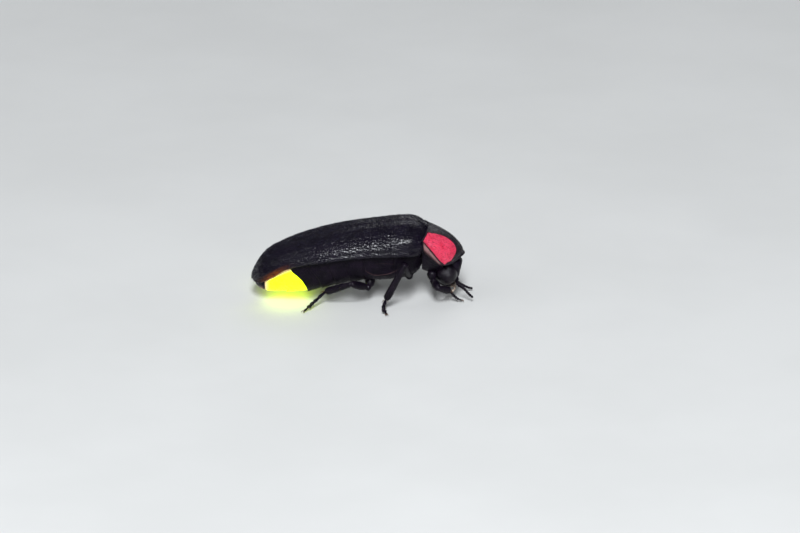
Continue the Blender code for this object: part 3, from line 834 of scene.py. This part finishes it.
def body_skin(
    name, material, span, nodes, segments=1, leans=(0.0, 0.0),
    tone=None, crease=0.03, close=(0.0, 0.0),
):
    """A length of the body whose plates overlap towards the tail.

    span is its back and front, leans the shear at each, and close how far each rounds off.
    """
    back, front = span
    rings = []
    tones = []
    for segment in range(segments):
        start = mix(back, front, segment / segments)
        stop = mix(back, front, (segment + 1) / segments)
        places = PLATE_SWELL + (((1.0, -0.025),) if segment == segments - 1 else ())
        for t, swell in places:
            x = mix(start, stop, t)
            lean = mix(leans[0], leans[1], (x - back) / (front - back))
            shrink = rounding_off(x - back, close[0]) * rounding_off(front - x, close[1])
            ring = body_ring(x, lean, swell, shrink, crease)
            rings.append(ring)
            tones.append(np.zeros(len(ring)) if tone is None else tone(ring))
    piece = Builder(name)
    piece.tube(rings, np.array(tones))
    return piece.build([material], nodes, 35)


def flank_point(x, z, side):
    """The place on the body's side at a height."""
    ring = body_ring(x, 0.0, 0.015, sides=96)
    lower = ring[48:73][::-1]
    return (x, side * np.interp(z, lower[:, 2], -lower[:, 1]), z)


def side_rims(name, material):
    """Raised rims of the chest's side plates, with a painted highlight as pale colour, strongest
    on the lowest one.
    """
    piece = Builder(name, 6)
    for side in (-1, 1):
        for outline, size, tone in SIDE_RIMS:
            places = [flank_point(x, z, side) for x, z in outline]
            thick = size * curve(RIM_TAPER, np.linspace(0, 1, RIM_STEPS))
            # Painted highlight: the tone makes each rim paler along its length.
            piece.tube(rod(bent_path(places, RIM_STEPS), thick, 8), tone)
    return piece.build([material], (), 50)


def front_thorax(name, material):
    """The chest under the shield, with a narrow pale strip folded in below the shield's edge."""
    half = np.linspace(0.0, 1.0, 19)
    inward = ((0.0, 0.0), (0.16, 0.06), (0.34, 0.22), (0.6, 0.50), (0.8, 0.72), (1.0, 1.0))
    downward = ((0.0, 0.02), (0.16, 0.17), (0.34, 0.42), (0.6, 0.80), (0.8, 0.97), (1.0, 1.0))
    lowest = ((7.5, 1.42), (7.9, 1.28), (8.3, 1.34), (8.7, 1.56))
    rings = []
    tones = []
    for along in np.linspace(0.0, 0.66, 24):
        x, corner_y, corner_z = shield_surface(np.array(along), np.array(1.0))
        bottom = min(curve(lowest, x), corner_z - 0.2)
        y = (corner_y - 0.035) * (1 - curve(inward, half))
        z = mix(corner_z, bottom, curve(downward, half))
        lower = np.stack([x + 0.02 + 0 * y, -y, z], axis=-1)
        across = np.linspace(1.0, 0.0, 8)
        roof = shield_surface(np.full(8, along), across)[:, 2] - 0.15
        roof[0] = corner_z - 0.01
        upper = np.stack([x + 0.02 + 0 * across, -(corner_y - 0.035) * across, roof], axis=-1)
        mirror = np.array([1.0, -1.0, 1.0])
        ring = np.concatenate([lower[1:], lower[-2:0:-1] * mirror, upper * mirror, upper[-2::-1]])
        pale = (1 - ramp(half, 0.13, 0.26)) * (1 - ramp(x, 8.28, 8.50)) * ramp(x, 7.60, 7.66)
        roof_tone = 0 * across
        roof_tone[0] = pale[0]
        tones.append(np.concatenate([pale[1:], pale[-2:0:-1], roof_tone, roof_tone[-2::-1]]))
        rings.append(ring)
    piece = Builder(name)
    piece.tube(rings, np.array(tones))
    return piece.build([material], ["prothorax"], 40)


def head(name, material):
    """The head capsule: sunken between the eyes, with two feeler sockets and a neck."""
    rows = 46
    columns = 56
    heights = HEAD_MIDDLE + HEAD_REACH * np.cos(np.radians(np.linspace(6, 174, rows)))
    around = 2 * np.pi * np.arange(columns)[None, :] / columns
    face = curve(HEAD_FACE, heights)
    back = curve(HEAD_BACK, heights)
    wide = curve(HEAD_HALF_WIDTH, heights)
    ends = np.sqrt(np.clip(1 - ((heights - HEAD_MIDDLE) / HEAD_REACH) ** 8, 0.0, 1.0))
    centre = 0.5 * (face + back)
    x = centre[:, None] + (0.5 * (face - back) * ends)[:, None] * power(np.cos(around), 0.85)
    y = (wide * ends)[:, None] * power(np.sin(around), 0.9)
    z = heights[:, None] + 0 * around
    ahead = ramp(np.cos(around), 0.3, 0.8)
    x = x - 0.07 * ahead * hump(y, 0.0, 0.26) * hump(z, 1.42, 0.26)
    x = x + 0.05 * ahead * hump(np.abs(y), 0.19, 0.10) * hump(z, 1.04, 0.11)
    x = x - 0.03 * ahead * hump(np.abs(y), 0.19, 0.04) * hump(z, 1.04, 0.05)
    x = x + 0.025 * ahead * hump(z, 0.80, 0.07)
    piece = Builder(name, 3)
    piece.tube(np.stack([x, y, z], axis=-1))
    neck = ((0, 0.46), (0.5, 0.50), (1, 0.46))
    piece.tube(limb((8.62, 0, 1.52), (8.05, 0, 1.86), neck, 10, sides=20))
    return piece.build([material], ["head"], 50)


def eye(name, side, node, material):
    """One big round eye."""
    rows = 38
    columns = 60
    polar = np.linspace(0.03, np.pi * 0.62, rows)[:, None]
    around = 2 * np.pi * np.arange(columns)[None, :] / columns
    x = EYE_CENTRE[0] + EYE_RADIUS * np.sin(polar) * np.cos(around)
    y = side * (EYE_CENTRE[1] + EYE_RADIUS * np.cos(polar) + 0 * around)
    z = EYE_CENTRE[2] + EYE_RADIUS * 1.04 * np.sin(polar) * np.sin(around)
    piece = Builder(name)
    piece.tube(np.stack([x, y, z], axis=-1))
    return piece.build([material], [node], 60)


def mouthparts(name, material):
    """Two curved jaws, jointed palps at each side, the chin and the pale lip."""
    piece = Builder(name, 20)

    def joints(places, sizes, tones, side):
        for k, (start, stop) in enumerate(zip(places, places[1:])):
            a = (start[0], side * start[1], start[2])
            b = (stop[0], side * stop[1], stop[2])
            shape = ((0, sizes[k] * 0.7), (0.6, sizes[k]), (1, sizes[k] * 0.75))
            piece.tube(limb(a, b, shape, 10, sides=12), tones[k])

    for side in (-1, 1):
        jaw = [(x, side * y, z) for x, y, z in JAW]
        piece.tube(rod(bent_path(jaw, 14), np.linspace(0.060, 0.012, 14), 10), 0.0)
        joints(PALP, (0.045, 0.050, 0.050, 0.060, 0.072), (0.0, 0.1, 0.45, 0.8, 1.0), side)
        joints(LIP_PALP, (0.040, 0.050), (0.2, 0.6), side)
    chin = ((0, 0.24), (0.5, 0.24), (1, 0.14))
    piece.tube(limb((8.52, 0.0, 0.84), (8.90, 0.0, 0.52), chin, 14, sides=18), 0.0)
    lip = ((0, 0.04), (0.5, 0.055), (1, 0.04))
    ends = ((9.03, -0.13, 0.56), (9.03, 0.13, 0.56))
    piece.tube(limb(*ends, lip, 10, (0.04, 0, -0.03), 10, 0.7), 0.9)
    return piece.build([material], ["mouthparts"], 50)


def antenna(name, side, knots, node, material):
    """A feeler of eleven joints: a long first joint, a short second, then nine like ones."""
    joints = len(FEELER_JOINTS)
    ends = np.concatenate([[0.0], np.cumsum(FEELER_JOINTS)]) / np.sum(FEELER_JOINTS)
    path = bent_path([(x, side * y, z) for x, y, z in knots], FEELER_STEPS)
    piece = Builder(name, joints)
    rings = 10
    for k in range(joints):
        first = int(round(ends[k] * (FEELER_STEPS - 1)))
        last = int(round(ends[k + 1] * (FEELER_STEPS - 1)))
        stretch = path[first : last + 1]
        at = np.linspace(0, len(stretch) - 1, rings)
        order = np.arange(len(stretch))
        spine = np.stack([np.interp(at, order, stretch[:, axis]) for axis in range(3)], 1)
        thick = (0.086, 0.066)[k] if k < 2 else mix(0.072, 0.056, (k - 2) / 8)
        outline = ((0, 0.64), (0.15, 0.82), (0.7, 1.0), (0.93, 0.98), (1, 0.72))
        if k == joints - 1:
            outline = ((0, 0.64), (0.3, 0.95), (0.7, 0.9), (1, 0.25))
        shape = curve(outline, np.linspace(0, 1, rings))
        piece.tube(rod(spine, thick * shape, 12, 0.9, (0.0, 1.0, 0.0)))
    return piece.build([material], [node], 50)


def leg(name, places, node, material):
    """One leg: hip, small joint, thigh, shin with two spurs, five foot joints and two claws."""
    body, hip, knee, ankle, instep, toe = [np.array(p, float) for p in places]
    piece = Builder(name, 20)
    along = (knee - hip) / np.linalg.norm(knee - hip)
    down = (ankle - knee) / np.linalg.norm(ankle - knee)
    forward = (toe - ankle) / np.linalg.norm(toe - ankle)
    across = np.cross(forward, (0, 0, 1.0))
    across /= np.linalg.norm(across)
    ahead = (1, 0, 0)
    piece.tube(limb(body, hip, HIP, 16, sides=20, up=ahead))
    piece.tube(limb(hip - along * 0.06, hip + along * 0.22, HIP_JOINT, 10, sides=14, up=ahead))
    ends = (hip + along * 0.14, knee + along * 0.04)
    piece.tube(limb(*ends, THIGH, 20, sides=18, flat=0.8, up=down))
    piece.tube(limb(knee - down * 0.05, ankle, SHIN, 20, sides=16, flat=0.82, up=(0, 1, 0)))
    for hook in (-1, 1):
        root = ankle - down * 0.02 + across * hook * 0.09
        tip = root + down * 0.15 + across * hook * 0.05 + forward * 0.03
        piece.tube(limb(root, tip, ((0, 0.020), (1, 0.006)), 6, sides=7), 0.8)
    foot_joints(piece, bent_path((ankle, instep, toe), FOOT_STEPS + 1))
    flat_way = np.array([forward[0], forward[1], 0.0])
    for hook in (-1, 1):
        bend = toe + flat_way * 0.09 + across * hook * 0.05 + np.array([0, 0, 0.01])
        tip = toe + flat_way * 0.14 + across * hook * 0.07 - np.array([0, 0, 0.05])
        claw = bent_path((toe, bend, tip), 9)
        piece.tube(rod(claw, np.linspace(0.022, 0.005, 9), 7), 0.7)
    return piece.build([material], [node], 50)


def foot_joints(piece, path):
    """Five joints along a foot's path, the fourth in two lobes."""
    for k, wide in enumerate(FOOT_RADII):
        start = path[round(FOOT_ENDS[k] * FOOT_STEPS)]
        stop = path[round(FOOT_ENDS[k + 1] * FOOT_STEPS)]
        ahead = (stop - start) / np.linalg.norm(stop - start)
        beside = np.cross(ahead, (0, 0, 1.0))
        beside /= np.linalg.norm(beside)
        if k == LOBED_JOINT:
            for lobe in (-1, 1):
                tip = stop + beside * lobe * 0.07 - np.array([0, 0, 0.012])
                shape = ((0, 0.05), (0.6, 0.07), (1, 0.05))
                piece.tube(limb(start, tip, shape, 10, sides=10, flat=0.6))
            continue
        shape = ((0, wide * 0.6), (0.7, wide), (1, wide * 0.85))
        piece.tube(limb(start - ahead * 0.02, stop + ahead * 0.02, shape, 12, sides=12, flat=0.8))


def sample_surface(host, count, seed, keep):
    """Random places on a mesh with their normals and map places, spread by area."""
    mesh = host.data
    mesh.calc_loop_triangles()
    total = len(mesh.loop_triangles)
    corners = np.empty(total * 3, dtype=np.int32)
    mesh.loop_triangles.foreach_get("vertices", corners)
    loops = np.empty(total * 3, dtype=np.int32)
    mesh.loop_triangles.foreach_get("loops", loops)
    places = np.empty(len(mesh.vertices) * 3)
    mesh.vertices.foreach_get("co", places)
    spots = np.empty(len(mesh.loops) * 2)
    mesh.uv_layers["OFBake"].data.foreach_get("uv", spots)
    a, b, c = places.reshape(-1, 3)[corners.reshape(-1, 3)].transpose(1, 0, 2)
    normal = np.cross(b - a, c - a)
    area = np.linalg.norm(normal, axis=1)
    normal /= np.maximum(area, 1e-20)[:, None]
    centre = (a + b + c) / 3 / MM + np.array([ORIGIN_X, 0, 0])
    weight = area * keep(centre, normal)
    draw = np.random.default_rng(seed)
    pick = draw.choice(total, count, p=weight / weight.sum())
    s = np.sqrt(draw.random(count))
    t = draw.random(count)
    shares = np.stack([1 - s, s * (1 - t), s * t], axis=1)
    shares = shares[..., None]
    point = (np.stack([a[pick], b[pick], c[pick]], 1) * shares).sum(axis=1)
    spot = (spots.reshape(-1, 2)[loops.reshape(-1, 3)[pick]] * shares).sum(axis=1)
    return point / MM, normal[pick], spot, draw


def grow_hairs(name, host, count, length, width, lie, lift, seed, material, keep):
    """Short tapered hairs on a skin, lying along a direction, as one joined mesh."""
    point, normal, spot, draw = sample_surface(host, count, seed, keep)
    flow = np.broadcast_to(np.array(lie), point.shape)
    flow = flow - normal * np.sum(flow * normal, axis=1, keepdims=True)
    flow /= np.maximum(np.linalg.norm(flow, axis=1, keepdims=True), 1e-9)
    side = np.cross(normal, flow)
    turn = draw.normal(0, 0.22, count)[:, None]
    flow, side = (
        flow * np.cos(turn) + side * np.sin(turn),
        side * np.cos(turn) - flow * np.sin(turn),
    )
    reach = (length * draw.uniform(0.7, 1.2, count))[:, None]
    rise = np.radians(lift * draw.uniform(0.6, 1.5, count))[:, None]
    root = point - normal * width
    middle = point + flow * reach * 0.5 * np.cos(rise) + normal * reach * 0.5 * np.sin(rise)
    tip = point + flow * reach * 0.98 * np.cos(rise) + normal * reach * 0.72 * np.sin(rise)
    points = []
    for centre, size in ((root, width), (middle, width * 0.8)):
        points += [centre + side * size, centre - side * size, centre + normal * size * 1.4]
    points.append(tip)
    points = np.stack(points, axis=1)
    faces = np.array([[0, 1, 4, 3], [1, 2, 5, 4], [2, 0, 3, 5]])
    tips = np.array([[3, 4, 6], [4, 5, 6], [5, 3, 6]])
    first = (np.arange(count) * 7)[:, None, None]
    quads = (first + faces[None]).reshape(-1, 4)
    ends = (first + tips[None]).reshape(-1, 3)
    mesh = bpy.data.meshes.new(name)
    mesh.from_pydata((points.reshape(-1, 3) * MM).tolist(), [], quads.tolist() + ends.tolist())
    patch = 0.0015
    corner = np.array([(-1, -1), (0, -1), (1, -1), (-1, 0), (0, 0), (1, 0), (0, 1)]) * patch
    place = spot[:, None, :] + corner[None]
    flat = np.concatenate([place[:, part.ravel()].reshape(-1, 2) for part in (faces, tips)])
    layer = mesh.uv_layers.new(name="OFBake")
    layer.data.foreach_set("uv", flat.astype(np.float32).ravel())
    mesh.materials.append(material)
    mesh.shade_smooth()
    made = bpy.data.objects.new(name, mesh)
    bpy.context.scene.collection.objects.link(made)
    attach(made, "root")
    return made


def everywhere(centre, normal):
    """1 on every face."""
    return np.ones(len(centre))


def outside_case(centre, normal):
    """1 on a wing case's outer side."""
    below = curve(MARGIN_HEIGHT, centre[:, 0]) - 0.2
    middle = np.stack([centre[:, 0], 0 * centre[:, 1], below], axis=1)
    return (np.sum((centre - middle) * normal, axis=1) > 0) * 1.0


def outside_shield(centre, normal):
    """1 on the shield's outer side."""
    return (np.sum((centre - np.array(SHIELD_CENTRE)) * normal, axis=1) > 0) * 1.0


def below_cases(centre, normal):
    """1 on the body's sides and belly, below the wing cases."""
    return (normal[:, 2] < 0.3) * 1.0


def pale_floor():
    """A plain pale floor."""
    size = 0.6
    corners = [(-size, -size, 0), (size, -size, 0), (size, size, 0), (-size, size, 0)]
    mesh = bpy.data.meshes.new("floor")
    mesh.from_pydata(corners, [], [(0, 1, 2, 3)])
    ground = bpy.data.objects.new("floor", mesh)
    bpy.context.scene.collection.objects.link(ground)
    made, tree, shader = node_material("floor_pale", (0.62, 0.62, 0.60), 0.75, 0.2)
    pale = mottled(tree, 0.08, 4.0, (0.60, 0.60, 0.585), (0.63, 0.63, 0.615))
    tree.links.new(pale, shader.inputs["Base Color"])
    mesh.materials.append(made)


def lights():
    """A narrow tall key lamp for the gloss on the near side, two soft lamps and a dim sky."""
    for name, place, width, height, watts, colour in LAMPS:
        lamp = bpy.data.lights.new(name, "AREA")
        lamp.energy = watts
        lamp.shape = "RECTANGLE"
        lamp.size = width
        lamp.size_y = height
        lamp.color = colour
        made = bpy.data.objects.new(name, lamp)
        made.location = place
        aim = Vector((0.0, 0.0, 0.002)) - Vector(place)
        made.rotation_mode = "QUATERNION"
        made.rotation_quaternion = aim.to_track_quat("-Z", "Y")
        bpy.context.scene.collection.objects.link(made)
    bpy.context.scene.view_settings.view_transform = "Standard"
    world = bpy.data.worlds.new("studio")
    world.use_nodes = True
    background = world.node_tree.nodes["Background"]
    background.inputs["Color"].default_value = (0.80, 0.83, 0.87, 1.0)
    background.inputs["Strength"].default_value = 0.15
    bpy.context.scene.world = world


def camera():
    """The camera, placed so that the model fills the frame as the animal does in the photo."""
    elevation = math.radians(VIEW_ELEVATION)
    azimuth = math.radians(VIEW_AZIMUTH)
    right = (PHOTO_WIDTH / 2 - TAIL_PIXEL) / PIXELS_PER_MM - ORIGIN_X
    upward = (GROUND_PIXEL - PHOTO_HEIGHT / 2) / PIXELS_PER_MM
    level = math.cos(elevation)
    back = Vector((math.sin(azimuth) * level, -math.cos(azimuth) * level, math.sin(elevation)))
    side = Vector((math.cos(azimuth), math.sin(azimuth), 0.0))
    top = back.cross(side)
    aim = (side * right + top * upward) * MM
    distance = PHOTO_WIDTH / PIXELS_PER_MM * MM * LENS / SENSOR
    data = bpy.data.cameras.new("camera")
    data.lens = LENS
    data.sensor_width = SENSOR
    data.clip_start = 0.005
    data.clip_end = 10.0
    made = bpy.data.objects.new("camera", data)
    made.location = aim + back * distance
    made.rotation_mode = "QUATERNION"
    made.rotation_quaternion = (-back).to_track_quat("-Z", "Y")
    bpy.context.scene.collection.objects.link(made)
    bpy.context.scene.camera = made


def lantern_tone(ring):
    """Lit, with a dim pale end towards the tail and a black back under the wing cases."""
    top = ring[:, 2] > curve(MARGIN_HEIGHT, ring[:, 0]) - 0.04
    dim = 0.5 * ramp(ring[:, 0], 0.82, 0.62)
    return np.where(top, 1.0, dim)


def tail_tone(ring):
    """Black, with a pale spot low on each side."""
    beside = ramp(np.abs(ring[:, 1]), 0.2, 0.4)
    return hump(ring[:, 0], 0.44, 0.08) * hump(ring[:, 2], 0.62, 0.10) * beside


def main():
    case_black = shell_material()
    body_black = body_material()
    limb_black = limb_material()
    pink = shield_material()
    eye_black = eye_material()
    lit = lantern_material()
    brown = mouth_material()
    grey_hair = hair_material("hair_grey", (0.0030, 0.0020, 0.0055), (0.016, 0.015, 0.026), 0.24)
    dark_hair = hair_material("hair_dark", (0.0030, 0.0020, 0.0050), (0.020, 0.016, 0.022), 0.30)

    def hairs(host, count, length, width, lie, lift, seed, keep, name, material=dark_hair):
        grow_hairs(name, host, count, length, width, lie, lift, seed, material, keep)

    for word, side in (("right", -1), ("left", 1)):
        case = wing_case("case_" + word, side, "elytron_" + word, case_black)
        name = "case_hairs_" + word
        hairs(
            case, 6500, 0.13, 0.0045, TO_TAIL, 16, 11 + side,
            outside_case, name, grey_hair,
        )
        eye("eye_dome_" + word, side, "eye_" + word, eye_black)
        feeler = antenna("feeler_" + word, side, FEELERS[word], "antenna_" + word, limb_black)
        name = "feeler_hairs_" + word
        hairs(feeler, 900, 0.045, 0.0025, TO_GROUND, 30, 21 + side, everywhere, name)
    scutellum("small_triangle", case_black)
    plate = shield("shield", pink)
    name = "shield_hairs"
    hairs(plate, 2200, 0.10, 0.0035, TO_TAIL, 20, 31, outside_shield, name, grey_hair)
    chest = front_thorax("chest", body_black)
    hairs(chest, 700, 0.09, 0.0035, TO_GROUND, 25, 32, below_cases, "chest_hairs")

    span = (TAIL_BACK, TAIL_FRONT)
    body_skin("tail_skin", body_black, span, [], tone=tail_tone, crease=0.0, close=(0.42, 0.0))
    span = (LANTERN_BACK, LANTERN_FRONT)
    leans = (0.0, LANTERN_LEAN)
    body_skin("lantern_skin", lit, span, ["lantern"], 2, leans, lantern_tone, 0.0)
    span = (LANTERN_FRONT, ABDOMEN_FRONT)
    leans = (LANTERN_LEAN, 0.0)
    belly = body_skin("belly_skin", body_black, span, ["abdomen"], 4, leans)
    span = (ABDOMEN_FRONT, THORAX_FRONT)
    middle = body_skin(
        "thorax_skin", body_black, span, ["thorax"], 2, crease=0.045, close=(0.0, 0.35),
    )
    hairs(belly, 3000, 0.11, 0.0035, TO_TAIL, 18, 41, below_cases, "belly_hairs")
    hairs(middle, 2600, 0.11, 0.0035, TO_TAIL, 18, 42, below_cases, "thorax_hairs")
    side_rims("side_rims", body_black)

    skull = head("head_skin", body_black)
    hairs(skull, 700, 0.06, 0.003, TO_GROUND, 25, 43, everywhere, "head_hairs")
    mouthparts("mouth", brown)
    for index, (word, places) in enumerate(STANCE.items()):
        limb_skin = leg("leg_skin_" + word, places, "leg_" + word, limb_black)
        name = "leg_hairs_" + word
        hairs(limb_skin, 1300, 0.07, 0.003, TO_GROUND, 28, 51 + index, everywhere, name)
    pale_floor()
    lights()
    camera()


main()
